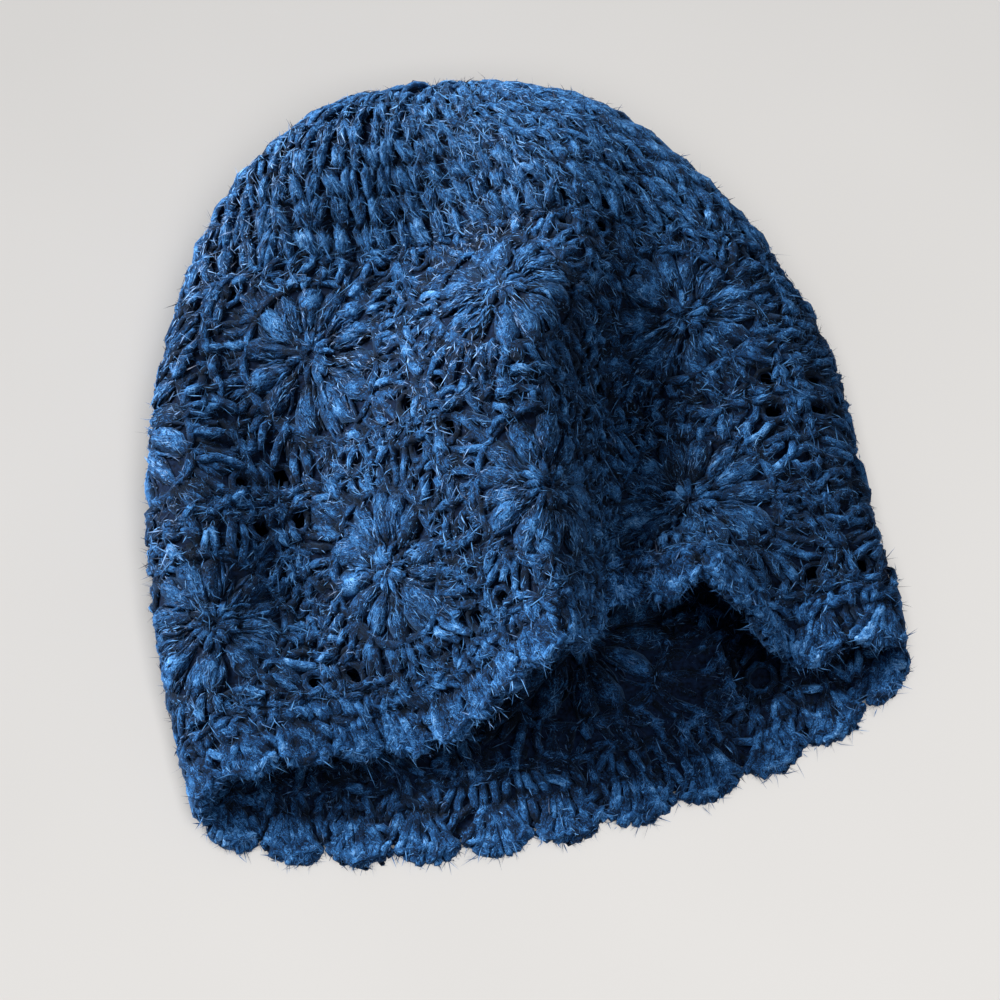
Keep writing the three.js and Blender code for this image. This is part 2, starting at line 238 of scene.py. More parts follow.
def strand_tubes(paths, thick, painted_light_lift=0.0, flat=0.9, sides=5, brushed=1.0, loose=0.45):
    """Carries a flattened ring along each path. paths holds (around, down, out) for strands by points.

    A ring point is the path's point plus thick times (cosine of its angle along the side direction, and flat
    times sine of its angle along the lifted direction). The ring shrinks at both ends of the path. brushed is
    the strands' share of the fibres, and loose is how far those stray from the strand's own way.
    """
    strands, count = paths.shape[:2]
    out = paths[..., 2]
    middle, up = on_fabric(paths[..., 0], paths[..., 1], out)
    along, side, lifted = carried_frame(middle, up)
    t = np.linspace(-1, 1, count)
    radius = thick * rng.uniform(0.87, 1.13, (strands, 1)) * rng.uniform(0.92, 1.08, (strands, count))
    radius = radius * (1 - 0.3 * t ** 8)
    angle = np.arange(sides) * 2 * np.pi / sides
    ring = np.cos(angle)[:, None] * side[:, :, None] + flat * np.sin(angle)[:, None] * lifted[:, :, None]
    lumps = rng.uniform(0.88, 1.12, (strands, count, sides, 1))
    points = middle[:, :, None] + radius[:, :, None, None] * lumps * ring
    index = np.arange(strands * count * sides).reshape(strands, count, sides)
    turned = np.roll(index, -1, axis=2)
    quads = np.stack([index[:, :-1], index[:, 1:], turned[:, 1:], turned[:, :-1]], -1).reshape(-1, 4)
    caps = np.concatenate([index[:, 0], index[:, -1, ::-1]])
    steps = np.linalg.norm(np.diff(middle, axis=1), axis=2)
    run = np.concatenate([np.zeros((strands, 1)), np.cumsum(steps, axis=1)], axis=1)
    wound = angle + rng.normal(0, 0.12, (strands, 1, 1)) * run[:, :, None]
    run = np.broadcast_to((run + rng.uniform(0, 900, (strands, 1)))[:, :, None], points.shape[:3])
    lay = np.stack([run, radius[:, :, None] * np.cos(wound), radius[:, :, None] * np.sin(wound)], -1)
    tone = rng.normal(0, 1, (strands, 1, 1)) + np.zeros(points.shape[:3])
    rise = (ring * up[:, :, None]).sum(axis=-1, keepdims=True)
    height = out[:, :, None] + radius[:, :, None] * rise[..., 0]
    facing = unit(ring + SOFTNESS * rise * up[:, :, None])
    # Painted shade: a point is painted darker the lower it lies; an extra lift paints a strand lighter.
    layer = dict(points=points.reshape(-1, 3), polygons=[quads, caps], finish=YARN, lay=lay.reshape(-1, 3),
                 tone=tone.ravel(), painted_shade_height=(np.abs(height) + painted_light_lift).ravel(), facing=facing.reshape(-1, 3))
    vectors = dict(middle=middle, along=along, side=side, lifted=flat * lifted, up=up)
    numbers = dict(radius=radius, out=out, painted_light_lift=painted_light_lift, brushed=brushed, loose=loose, run=t)
    spine = {name: value.reshape(-1, 3) for name, value in vectors.items()}
    spine |= {name: np.broadcast_to(value, radius.shape).ravel() for name, value in numbers.items()}
    return layer, spine


print("softness of a strand's facing:", SOFTNESS)


# %% Helpers for paths
def path(around, down, out):
    """Three arrays that broadcast to strands by points, stacked into one array of paths."""
    return np.stack(np.broadcast_arrays(around, down, out), -1).astype(float)


def wander(paths, mm, out_mm):
    """Moves every point of a path a little, as hand-made stitches do, by smooth random steps."""
    strands, count = paths.shape[:2]
    shift = rng.normal(0, 1, (strands, 1, 3)) * 0.7 + rng.normal(0, 1, (strands, count, 3)) * 0.45
    size = np.stack([mm * per_mm_around(paths[..., 1]), np.full(paths.shape[:2], mm * PER_MM_DOWN),
                     np.full(paths.shape[:2], out_mm)], -1)
    return paths + shift * size


def chain_links(around, down, step, slant, out):
    """A row of links along the fabric: each rises, opens to a V over its neighbour and dives again."""
    t = np.linspace(0, 1, 5)
    lean = np.repeat([-1, 1], len(around))[:, None]
    around = np.tile(around, 2)[:, None] + (t - 0.5) * 1.25 * step
    down = np.tile(down, 2)[:, None] + lean * slant * (1.3 * t - 0.1) * PER_MM_DOWN
    return path(around, down, out * np.sin(np.pi * t) - 0.5)


print("one millimetre around the seam:", round(per_mm_around(SEAM), 5))

# %% [markdown]
# ## The crown
# The crown is worked in nine rounds of plump leaning stitches. Each stitch is a soft bundle of strands, and
# its top is a slanted link of the chain that runs round the hat. Between two stitches the fabric is open and
# dark; there the middle layer shows, painted dark as shade. A bundle of three tubes keeps the stitch soft,
# where one thick tube would look like a bead.

# %% Crown stitches
CROWN_ROUNDS = [8, 20, 34, 46, 54, 60, 64, 64, 64]  # stitches in each round
BUNDLE_SHARE, BUNDLE_LEAST, BUNDLE_MOST = 0.37, 1.4, 3.4  # half width, as a share of the pitch and in mm
BUNDLE_HIGH, LINK_HIGH = 2.6, 1.1
PRESSED = 0.25  # share of the fibres on the floor side, which is pressed flat


def brushed_above(paths):
    """Share of the fibres for each strand: whole above, little on the floor side."""
    return np.where(np.cos(2 * np.pi * paths[:, :1, 0]) > 0.25, PRESSED, 1.0)


def crown_paths():
    """Leaning bundles of three strands and chain links, for all rounds. A strand is thickest half way."""
    bundles, thick, links = [], [], []
    step = CROWN_EDGE / len(CROWN_ROUNDS)
    t = np.linspace(-0.5, 0.5, 5)
    for k, n in enumerate(CROWN_ROUNDS):
        place = FIRST_SQUARE + (np.arange(n) + 0.5 + 0.5 * (k % 2) + rng.uniform(-0.12, 0.12, n)) / n
        middle = (k + 0.5) * step
        half = np.clip(BUNDLE_SHARE / n / per_mm_around(middle), BUNDLE_LEAST, BUNDLE_MOST)
        lean = rng.normal(0.25, 0.15, (n, 1, 1)) + rng.normal(0, 0.15, (n, 3, 1))
        length = step * rng.uniform(1.1, 1.5, (n, 3, 1)) / PER_MM_DOWN
        aside = 0.46 * half * np.array([-1, 0, 1])[:, None] + rng.normal(0, 0.25, (n, 3, 1))
        around = place[:, None, None] + (aside + length * t * np.sin(lean)) * per_mm_around(middle)
        shift = rng.normal(0, 0.6, (n, 1, 1)) + rng.normal(0, 0.5, (n, 3, 1))
        down = middle + (shift + length * t * np.cos(lean)) * PER_MM_DOWN
        out = rng.normal(-0.1, 0.3, (n, 3, 1)) + [[0], [0.7], [0]] + BUNDLE_HIGH * np.cos(np.pi * t)
        bundles.append(path(around, np.maximum(down, 0.012), out).reshape(-1, 5, 3))
        thick.append(0.64 * half * (1 - 1.1 * t ** 2) * np.ones((3 * n, 1)))
        links.append(chain_links(place, np.full(n, (k + 1) * step - 0.004), 1 / n, 2.0, LINK_HIGH))
    bundles = wander(np.concatenate(bundles), 0.4, 0.3)
    links = wander(np.concatenate(links), 0.9, 0.5)
    return [dict(paths=bundles, thick=np.concatenate(thick), sides=4, brushed=1.5 * brushed_above(bundles)),
            dict(paths=links, thick=1.35, sides=4, brushed=0.6 * brushed_above(links))]


print("crown stitches:", sum(CROWN_ROUNDS))

# %% [markdown]
# ## The flowers
# A square starts from a small ring. Short strands make the flower's eye, and round it lie fourteen puffed
# petals. A petal is a plump body of yarn with finer strands over a part of its length, because a smooth body
# alone would look like a leaf. Bows join the petals' far ends.

# %% Eye and petals
HALF_WIDE, HALF_TALL = 42.0, 40.5
PETALS, PETAL_STRANDS = 14, 6
EYE, EYE_STRANDS = 2.4, 13
PETAL_START, PETAL_END, PETAL_OPENING = 8.5, 28.8, 2.9
STRAND_HIGH = 2.5
BOWS = [(28.0, 1.0), (29.8, 0.6)]  # reach and height


def square_to_fabric(x, y, index, top, bottom):
    """Turns millimetres from a square's centre into places around and down the hat."""
    around = FIRST_SQUARE + (index + 0.5 + x / (2 * HALF_WIDE)) / SQUARES
    down = (top + bottom) / 2 + y / (2 * HALF_TALL) * (bottom - top)
    return around, down


def petal_bodies(angle, count, face):
    """A plump body for each petal along its ray, narrow at the eye and round at its far end.

    Its half width is the petal's share of the ring at that reach, times a low power of the sine of its run.
    """
    t = np.linspace(0.02, 0.98, count)
    reach = PETAL_START + (PETAL_END + rng.normal(0, 0.8, (len(angle), 1)) - PETAL_START) * t
    ray = angle[:, None] + rng.normal(0, 0.05, (len(angle), 1)) * np.sin(np.pi * t)
    half = 1.06 * np.pi / PETALS * reach * np.sin(np.pi * t ** 0.8) ** 0.4
    out = face * (0.2 + 0.9 * np.sin(np.pi * t)) + 0 * reach
    return reach * np.cos(ray), reach * np.sin(ray), out, half


def petal_strands(angle, count):
    """Strands that lie on the petals, each along a part of the petal's length.

    They part as the sine of their run, and curl a little to each side.
    """
    grid = (len(angle), PETAL_STRANDS, 1)
    begin = rng.uniform(0, 0.45, grid)
    t = (begin + rng.uniform(0.45, 0.7, grid) * np.linspace(0, 1, count)).clip(0, 1)
    share = (np.linspace(-1, 1, PETAL_STRANDS)[:, None] + rng.normal(0, 0.12, grid)).clip(-1.1, 1.1)
    reach = PETAL_START + (PETAL_END + rng.normal(0, 0.8, (len(angle), 1, 1)) - PETAL_START) * t
    aside = share * (0.9 + 1.0 * t + PETAL_OPENING * np.sin(np.pi * t ** 1.2).clip(0) ** 0.8)
    curl = rng.normal(0, 0.9, grid) * np.sin(1.5 * np.pi * np.linspace(0, 1, count))
    ray = angle[:, None, None] + (aside + curl) / reach
    rise = np.sin(np.pi * np.linspace(0.1, 0.9, count))
    out = 0.2 + STRAND_HIGH * rise * (1 - 0.35 * share ** 2) * np.sin(np.pi * (0.15 + 0.75 * t))
    return tuple(part.reshape(-1, count) for part in (reach * np.cos(ray), reach * np.sin(ray), out))


def eye_families(place, spin):
    """The ring that starts a flower, and the short strands of its eye."""
    ring = np.linspace(0, 2 * np.pi, 11)[None]
    step = 2 * np.pi / EYE_STRANDS
    ray = (spin + np.arange(EYE_STRANDS) * step + rng.normal(0, 0.08, EYE_STRANDS))[:, None]
    t = np.linspace(0, 1, 4)
    reach = 2.6 + (rng.uniform(8.5, 11.5, EYE_STRANDS)[:, None] - 2.6) * t
    rise = 0.5 + 1.5 * np.sin(np.pi * t) + 0 * reach
    strands = wander(place(reach * np.cos(ray), reach * np.sin(ray), rise), 0.4, 0.4)
    return [dict(paths=place(EYE * np.cos(ring), EYE * np.sin(ring), 0.8 + 0 * ring), thick=1.0),
            dict(paths=strands, thick=1.6)]


def petal_families(place, spin, loose):
    """Petal bodies on both faces, strands over the outer ones, and the bows that join petal to petal."""
    angle = spin + (np.arange(PETALS) + rng.normal(0, 0.1, PETALS)) * 2 * np.pi / PETALS
    *front, front_half = petal_bodies(angle, 7, 1)
    *back, back_half = petal_bodies(angle, 4, -1)
    front, back = wander(place(*front), 0.3, 0.2), wander(place(*back), 0.3, 0.2)
    strands = wander(place(*petal_strands(angle, 5)), 0.5, 0.3)
    made = [dict(paths=front, thick=front_half, flat=0.45, sides=8, brushed=4.5, loose=loose),
            dict(paths=back, thick=0.9 * back_half, flat=0.35, sides=6, brushed=0.5),
            dict(paths=strands, thick=0.75, sides=4, loose=loose)]
    between = angle[:, None] + np.pi / PETALS * np.linspace(-1.1, 1.1, 4) + np.pi / PETALS
    for far, high in BOWS:
        bow = far + 0.9 * np.cos(np.linspace(-np.pi / 2, np.pi / 2, 4)) + rng.normal(0, 0.5, (PETALS, 1))
        rise = high * np.sin(np.linspace(0.3, np.pi - 0.3, 4)) + 0 * between
        bows = wander(place(bow * np.cos(between), bow * np.sin(between), rise), 0.6, 0.5)
        made.append(dict(paths=bows, thick=1.7))
    return made


print("petals of a flower:", PETALS, "each with strands:", PETAL_STRANDS)

# %% [markdown]
# ## From flower to square
# Taller and taller stitches turn the round flower into a square, which leaves a hole at each corner. The tall
# stitches are posts of two strands wound round each other. A ring of yarn borders each hole, and a rim of
# knots edges the square. The knots lie askew, but not beside the holes, which would close.

# %% Posts, rings and knots
SIDE_POSTS, POST_START, POST_END, POST_POINTS = 11, 28.0, 36.5, 5
HOLE_X, HOLE_Y, HOLE_RING = 34.1, 32.8, 4.7
KNOTS, KNOT_LINE, KNOT_REACH, KNOT_THICK = 11, 38.7, 41.2, 1.8


def twisted_posts(start, end, width, deep, turns):
    """Posts of two strands that wind round a straight axis from start to end, given as (around, down) pairs.

    A strand's place is the axis plus width times cosine and deep times sine of an angle that grows by turns
    along the post. The post opens towards its top and dives at both ends.
    """
    posts = len(start)
    t = np.linspace(0, 1, POST_POINTS)
    axis = start[:, None, None] + (end - start)[:, None, None] * t[:, None]
    angle = np.pi * np.arange(2) + rng.normal(0, 1.0, (posts, 1))
    angle = angle[:, :, None] + 2 * np.pi * turns * (t - 0.5)
    waist = 0.8 + 0.45 * t - 0.2 * np.sin(np.pi * t)
    run = unit((end - start) / np.stack([per_mm_around(start[:, 1]), np.full(posts, PER_MM_DOWN)], -1))
    aside = np.cos(angle) * width * waist
    around = axis[..., 0] - aside * run[:, None, None, 1] * per_mm_around(axis[..., 1])
    down = axis[..., 1] + aside * run[:, None, None, 0] * PER_MM_DOWN
    out = 0.4 + np.sin(angle) * deep * waist - 0.9 * (2 * t - 1) ** 4
    return path(around, down, out).reshape(-1, POST_POINTS, 3)


def side_posts(index, top, bottom):
    """Twisted posts from the flower to the four sides, and one to each corner hole."""
    spread = np.linspace(-1, 1, SIDE_POSTS)
    swing = np.radians(43) * spread
    near = np.stack([POST_START * np.cos(swing), POST_START * np.sin(swing)], -1)
    far = np.stack([POST_END + 0 * spread, 28.4 * np.sign(spread) * np.abs(spread) ** 0.9], -1)
    near, far = np.vstack([near, [20.8, 20.8]]), np.vstack([far, [29.6, 28.6]])
    turns = [np.array([[c, s], [-s, c]]) for c, s in ((1, 0), (0, 1), (-1, 0), (0, -1))]
    starts = np.concatenate([near @ turn for turn in turns])
    ends = np.concatenate([far @ turn for turn in turns]) * [1, HALF_TALL / HALF_WIDE]
    start, end = (np.stack(square_to_fabric(*xy.T, index, top, bottom), -1) for xy in (starts, ends))
    return dict(paths=wander(twisted_posts(start, end, 1.4, 1.3, 0.4), 1.1, 0.7), thick=1.8, brushed=1.6)


def corner_rings(place, ring_size, thick):
    """Two rings of yarn round each corner hole, one on each face."""
    loop = np.linspace(0, 2 * np.pi, 9)
    x = np.array([[1], [1], [-1], [-1]]) * HOLE_X + ring_size * np.cos(loop)
    y = np.array([[1], [-1], [1], [-1]]) * HOLE_Y + ring_size * np.sin(loop)
    return [dict(paths=wander(place(x, y, high + 0 * x), 0.4, 0.3), thick=thick, brushed=0.4)
            for high in (-0.9, 0.7)]


def askew(x, y, angle):
    """Turns each strand about its own middle by a random angle, as no two knots lie alike."""
    turn = rng.normal(0, 1, (len(x), 1)) * angle
    middle_x, middle_y = x.mean(axis=1, keepdims=True), y.mean(axis=1, keepdims=True)
    run, off = x - middle_x, y - middle_y
    return (middle_x + run * np.cos(turn) - off * np.sin(turn),
            middle_y + run * np.sin(turn) + off * np.cos(turn))


def edge_knots(place):
    """Chain links along the four sides, each turned askew into a knot."""
    step = 2 * HALF_WIDE / KNOTS
    t = np.linspace(0, 1, 5)
    run = (np.arange(KNOTS)[:, None] - (KNOTS - 1) / 2 + (t - 0.5) * 1.25) * step
    run = np.clip(run, -KNOT_REACH, KNOT_REACH)
    high = 2.2 * np.sin(np.pi * t) - 0.8 + 0 * run
    turn = np.where(np.abs(run.mean(axis=1, keepdims=True)) < 26, 0.9, 0.1)
    made = []
    for edge in (-1, 1):
        for lean in (-1, 1):
            off = edge * KNOT_LINE + lean * 1.7 * (1.3 * t - 0.1) + 0 * run
            for x, y in ((run, off * 0.985), (off * 1.02, run * 0.96)):
                knots = wander(place(*askew(x, y, turn), high), 1.1, 0.6)
                made.append(dict(paths=knots, thick=KNOT_THICK, brushed=1.5))
    return made


def square_paths(index, top, bottom):
    """All strands of one flower square. Those on the floor show their inner face and are pressed flatter."""
    on_floor = index in (0, SQUARES - 1)
    face = -0.6 if on_floor else 1

    def place(x, y, out):
        return path(*square_to_fabric(x, y, index, top, bottom), face * out)

    spin = rng.uniform(0, 2 * np.pi)
    ring_size, ring_thick = (2.3, 1.7) if on_floor else (HOLE_RING, 1.3)
    return [*eye_families(place, spin), *petal_families(place, spin, 0.36 if on_floor else 0.23),
            side_posts(index, top, bottom), *corner_rings(place, ring_size, ring_thick), *edge_knots(place)]


print("posts of a square:", 4 * (SIDE_POSTS + 1), "knots:", 8 * KNOTS)

# %% [markdown]
# ## The shell edging
# A row of short stitches holds the squares' edge. Below it stand the shells: seven stitches fan out from one
# place, and their plump heads turn over the hem in a round end. Those ends make the scallops. The heads go
# over the hem as whole strands, so that the edge is closed from every side.

# %% Shell stitches
SHELL_WIDE, SHELL_TALL, SHELL_DROP = 22.0, (HEM - BASE) / PER_MM_DOWN, 8.8
SHELL_CENTRES = FIRST_SQUARE + (np.arange(SCALLOPS) + 0.75) / SCALLOPS
FAN_STITCHES, FAN_HEADS, FAN_ROOT, HEAD_BACK = 7, 9, 7.5, 7.0
LIPS, CHAIN_HIGH = 6, 2.0
BASE_TIERS = [(3.8, 6), (12.0, 6)]  # distance below the squares, and strands of a tier beside each shell


def shell_paths(x, y, out):
    """Paths from millimetres across and below the middle of every shell's base, raised by out."""
    around = SHELL_CENTRES[:, None, None] + x / (SHELL_WIDE * SCALLOPS)
    made = path(around, BASE + y * PER_MM_DOWN, out)
    return made.reshape(-1, *made.shape[2:])


def shell_rim(x):
    """Length of a shell at a place across it: its end is half an ellipse."""
    across = np.clip(np.abs(x) / (0.514 * SHELL_WIDE), 0, 1)
    return SHELL_TALL - SHELL_DROP * (1 - np.sqrt(1 - across ** 2))


def fan_stitches(face):
    """Strands that fan out from a shell's root to its round end, on the outer (1) or inner (-1) face."""
    t = np.linspace(0, 1, 5)
    end = np.linspace(-8.8, 8.8, FAN_STITCHES)[:, None]
    x = end * (0.4 + 0.55 * t) + rng.normal(0, 0.4, (SCALLOPS, FAN_STITCHES, 1))
    y = FAN_ROOT + (shell_rim(end) - 3.5 - FAN_ROOT) * t
    return shell_paths(x, y, face * (0.6 + 1.2 * np.sin(np.pi * t)))


def fan_heads():
    """The stitches' heads: each comes up outside, turns over the round end and dives inside.

    Its way back from the end, towards the root, is HEAD_BACK times the square of twice its run less one. Its
    height falls from plus to minus as the root of that run.
    """
    t = np.linspace(0, 1, 6)
    end = np.linspace(-9.7, 9.7, FAN_HEADS)[:, None]
    rim = shell_rim(end) - 1.2
    back = HEAD_BACK * (2 * t - 1) ** 2 / np.hypot(end, rim - FAN_ROOT)
    x = end * (1 - back) + rng.normal(0, 0.3, (SCALLOPS, FAN_HEADS, 1))
    y = rim - back * (rim - FAN_ROOT) + rng.normal(0, 0.3, (SCALLOPS, FAN_HEADS, 1))
    return shell_paths(x, y, 2.1 * np.sign(0.5 - t) * np.abs(1 - 2 * t) ** 0.5)


def lip_links(face):
    """Links along a shell's round end on one face, which bind its heads."""
    t = np.linspace(-0.5, 0.5, 5)
    grid = (SCALLOPS, LIPS, 1)
    x = ((np.arange(LIPS) + 0.5) / LIPS - 0.5)[:, None] * 17.5 + t * 4.4 + rng.normal(0, 0.6, grid)
    y = shell_rim(x) - 3.6 + rng.normal(0, 0.8, grid) + rng.normal(0, 3.0, grid) * t
    return shell_paths(x, y, face * (1.5 + 1.3 * np.cos(np.pi * t)))


def base_strands(face):
    """Tiers of short bowed strands at the squares' edge and in the hollows between two shells."""
    t = np.linspace(-0.5, 0.5, 5)
    made = []
    for far, count in BASE_TIERS:
        grid = (SCALLOPS, count, 1)
        heading = rng.normal(0, 0.5, grid)
        length = rng.uniform(8, 11, grid)
        middle = ((np.arange(count) + 0.5) / count)[:, None] * SHELL_WIDE + rng.normal(0, 0.7, grid)
        x = middle + length * t * np.sin(heading)
        y = far + rng.normal(0, 0.8, grid) + length * t * np.cos(heading)
        out = face * rng.uniform(1.2, 2.0, grid) * (1.3 * np.cos(np.pi * t) - 0.3)
        made.append(shell_paths(x, y, out))
    return np.concatenate(made)


def edging_paths():
    """Chain, base strands, fans, heads and lips of the edging. A lift paints the heads and lips lighter."""
    n = SQUARES * KNOTS
    turn = FIRST_SQUARE + (np.arange(n) + 0.5) / n
    chain = chain_links(turn, np.full(n, BASE + 0.009), 1 / n, 2.4, CHAIN_HIGH)
    base, fans, lips = (np.concatenate([made(face) for face in (-1, 1)])
                        for made in (base_strands, fan_stitches, lip_links))
    # Painted light: the heads and the lips get a lift that paints them lighter, not higher.
    return [dict(paths=wander(chain, 1.0, 0.5), thick=1.6),
            dict(paths=wander(base, 0.6, 0.3), thick=1.8),
            dict(paths=wander(fans, 0.4, 0.3), thick=np.linspace(1.4, 2.1, 5)),
            dict(paths=wander(fan_heads(), 0.3, 0.2), thick=1.95, painted_light_lift=1.4),
            dict(paths=wander(lips, 0.5, 0.3), thick=1.4, painted_light_lift=0.6)]


print("shells:", SCALLOPS, "length, mm:", round(SHELL_TALL, 1))

# %% [markdown]
# ## The dark middle layer
# Behind the stitches lies a thin layer that no light comes through. It is a thin closed wall in the middle
# of the fabric, left open at the corner holes. Its dark navy is painted shade, for the shadow between the
# strands. Without it the floor would shine through between the strands, which it doesn't on the real hat.

# %% Thin wall behind the stitches
FELT_HALF = 0.35
CROWN_COLUMNS, SHELL_COLUMNS = 112, 8


def felt_wall(around, down, open_cells=None, closed=False):
    """A grid of places, doubled to both faces of a thin wall, with its open edges closed by narrow strips."""
    rows, columns = down.shape
    faces = [on_fabric(around, down, np.full(down.shape, out))[0] for out in (FELT_HALF, -FELT_HALF)]
    points = np.concatenate(faces).reshape(-1, 3)
    index = np.arange(rows * columns).reshape(rows, columns)
    if closed:
        index = np.concatenate([index, index[:, :1]], axis=1)
    kept = np.ones((index.shape[0] - 1, index.shape[1] - 1), bool)
    if open_cells is not None:
        kept &= ~open_cells
    a, b, c, d = index[:-1, :-1], index[:-1, 1:], index[1:, 1:], index[1:, :-1]
    inside = rows * columns
    quads = [np.stack([a, d, c, b], -1)[kept], np.stack([a, b, c, d], -1)[kept] + inside]
    edges = np.concatenate([np.stack(pair, -1)[kept] for pair in ((a, d), (d, c), (c, b), (b, a))])
    key = {tuple(e) for e in edges.tolist()}
    rim = np.array([e for e in edges.tolist() if (e[1], e[0]) not in key]).reshape(-1, 2)
    quads.append(np.stack([rim[:, 1], rim[:, 0], rim[:, 0] + inside, rim[:, 1] + inside], -1))
    none = np.zeros(len(points))
    return dict(points=points, polygons=[np.concatenate(quads)], finish=FELT, lay=0 * points, tone=none,
                painted_shade_height=none, facing=0 * points)


def crown_felt():
    """Rings of felt from the crown's centre to its edge."""
    rings = np.concatenate([[0.004], np.linspace(0.02, CROWN_EDGE, 26)])
    turn = FIRST_SQUARE + np.arange(CROWN_COLUMNS) / CROWN_COLUMNS
    return felt_wall(*np.meshgrid(turn, rings), closed=True)


def square_felt(index, top, bottom):
    """A square of felt. Its corner cells are open where the fabric faces up."""
    x, y = (np.concatenate([[-edge, -far, -near], np.linspace(-flower, flower, 14), [near, far, edge]])
            for edge, far, near, flower in ((HALF_WIDE, 36.8, 31.4, 26), (HALF_TALL, 35.6, 30.0, 25)))
    cells = np.zeros((len(y) - 1, len(x) - 1), bool)
    around, down = square_to_fabric(*np.meshgrid(x, y), index, top, bottom)
    faces_up = on_fabric(around, down, 0 * down)[1][:-1, :-1, 2] > 0.3
    corners = np.ix_([1, -2], [1, -2])
    cells[corners] = faces_up[corners]
    return felt_wall(around, down, open_cells=cells)


def edging_felt():
    """A band of felt that ends a little short of the shells' round ends."""
    columns = SHELL_COLUMNS * SCALLOPS
    across = (np.arange(SHELL_COLUMNS) - (SHELL_COLUMNS - 1) / 2) / SHELL_COLUMNS * SHELL_WIDE
    turn = FIRST_SQUARE + 0.25 / SCALLOPS + (np.arange(columns) + 0.5) / columns
    far = (shell_rim(np.tile(across, SCALLOPS)) - 3.9) * np.linspace(0, 1, 7)[:, None]
    return felt_wall(np.broadcast_to(turn, far.shape), BASE + far * PER_MM_DOWN, closed=True)


print("felt, mm thick:", 2 * FELT_HALF)

# %% [markdown]
# ## The brushed fibres
# Brushing pulls fine hairs out of the yarn. Most are short, lie along their strand and blur the stitches.
# Fewer are single hairs that stand up and make the outline soft. Hair curves could draw them, but a part
# needs plain meshes. The nap is slim bent kites, and a single hair is a narrow ribbon with a pointed end.
# Both are drawn thicker than real hairs, so that they show.

# %% Nap and hairs
NAP_LIFT, NAP_LENGTH, NAP_BEND, NAP_HALF = (-0.1, 0.22), (1.5, 3.8), 1.5, (0.11, 0.27)
HAIR_LIFT, HAIR_LENGTH, HAIR_BEND, HAIR_HALF = (0.1, 0.5), (1.5, 3.4), 2.0, (0.028, 0.055)
# Painted glints: a few nap fibres are painted paler, for light glinting on shiny hairs.
PAINTED_GLINT_SHARE = 0.08  # share of the nap that is paler by one step of tone


def held_back(vectors, direction, most):
    """Vectors whose part along a direction is brought down to most, where it is larger."""
    part = (vectors * direction).sum(axis=1, keepdims=True)
    return vectors - direction * (part - most).clip(0)


def fibre_lines(spine, count, outer_share, lift, length, bend_size):
    """Roots, mid points and tips of fibres on random places of the strands, and their painted shade height.

    A fibre is a straight run along its strand, tilted outwards by lift and sideways by as much as its strand
    is loose, plus a bend towards the fabric that grows with the square of the way along it. It leaves neither
    strand nor fabric by more than the largest lift. Near a strand's end it runs back to the middle, so that
    each stitch keeps its own tuft.
    """
    weight = spine["radius"] * spine["brushed"]
    pick = rng.choice(len(weight), count, p=weight / weight.sum())
    at = {name: values[pick] for name, values in spine.items()}
    along, up, radius, loose = at["along"], at["up"], at["radius"], at["loose"][:, None]
    angle = np.where(rng.uniform(size=count) < outer_share, 1, -1) * rng.uniform(0.1, np.pi - 0.1, count)
    radial = np.cos(angle)[:, None] * at["side"] + np.sin(angle)[:, None] * at["lifted"]
    rise = (radial * up).sum(axis=1)
    outward = up * np.sign(rise)[:, None]
    root = at["middle"] + radial * radius[:, None] * 0.9
    root = root + along * rng.uniform(-1.5, 1.5, (count, 1))
    back = np.where(rng.uniform(-1, 1, count) < at["run"], -1, 1)[:, None]
    way = along * back + radial * rng.uniform(*lift, (count, 1))
    way = way + rng.normal(0, 1, (count, 3)) * loose
    way = held_back(held_back(way, radial, lift[1]), outward, lift[1])
    way /= np.linalg.norm(way, axis=1, keepdims=True)
    bend = rng.normal(0, bend_size, (count, 3)) * loose
    bend = held_back(held_back(bend, outward, 0), radial, 0) - 0.35 * radial
    size = rng.uniform(*length, (count, 1))
    across = np.cross(way, radial + rng.normal(0, 0.35, (count, 3)))
    across /= np.linalg.norm(across, axis=1, keepdims=True).clip(1e-6)
    line = [root + size * (t * way + t * t * bend) for t in (0, 0.5, 1)]
    facing = unit(radial + 2 * SOFTNESS * up * rise[:, None])
    return line, across, np.abs(at["out"] + radius * rise) + at["painted_light_lift"], facing


def fibre_layer(points, polygons, tone, painted_shade_height, facing, corners):
    """Fibres as a layer of a piece: every corner has its fibre's tone, painted shade height and facing."""
    return dict(points=points, polygons=polygons, finish=FIBRE, lay=np.zeros_like(points),
                tone=np.repeat(tone, corners), painted_shade_height=np.repeat(painted_shade_height, corners),
                facing=np.repeat(facing, corners, axis=0))


def nap(spine, count, outer_share):
    """Slim bent kites of two triangles: root, two shoulders half way and a tip."""
    line, across, painted_shade_height, facing = fibre_lines(spine, count, outer_share, NAP_LIFT, NAP_LENGTH, NAP_BEND)
    half = across * rng.uniform(*NAP_HALF, (count, 1))
    points = np.stack([line[0], line[1] + half, line[1] - half, line[2]], 1).reshape(-1, 3)
    index = np.arange(count * 4).reshape(count, 4)
    # A few fibres get one step more tone: painted glints.
    tone = rng.normal(0, 1, count) + 1.0 * (rng.uniform(size=count) < PAINTED_GLINT_SHARE)
    return fibre_layer(points, [index[:, :3], index[:, [2, 1, 3]]], tone, painted_shade_height, facing, 4)


def hairs(spine, count, outer_share):
    """Ribbons: a quad from the root to the middle and a triangle from there to the tip."""
    line, across, painted_shade_height, facing = fibre_lines(spine, count, outer_share, HAIR_LIFT, HAIR_LENGTH, HAIR_BEND)
    half = across * rng.uniform(*HAIR_HALF, (count, 1))
    sides = [line[0] - half, line[0] + half, line[1] + half, line[1] - half]
    points = np.stack([*sides, line[2]], 1).reshape(-1, 3)
    index = np.arange(count * 5).reshape(count, 5)
    tone = rng.normal(0.1, 0.7, count)
    return fibre_layer(points, [index[:, :4], index[:, [3, 2, 4]]], tone, painted_shade_height, facing, 5)


print("nap, mm long:", NAP_LENGTH, "single hairs:", HAIR_LENGTH)
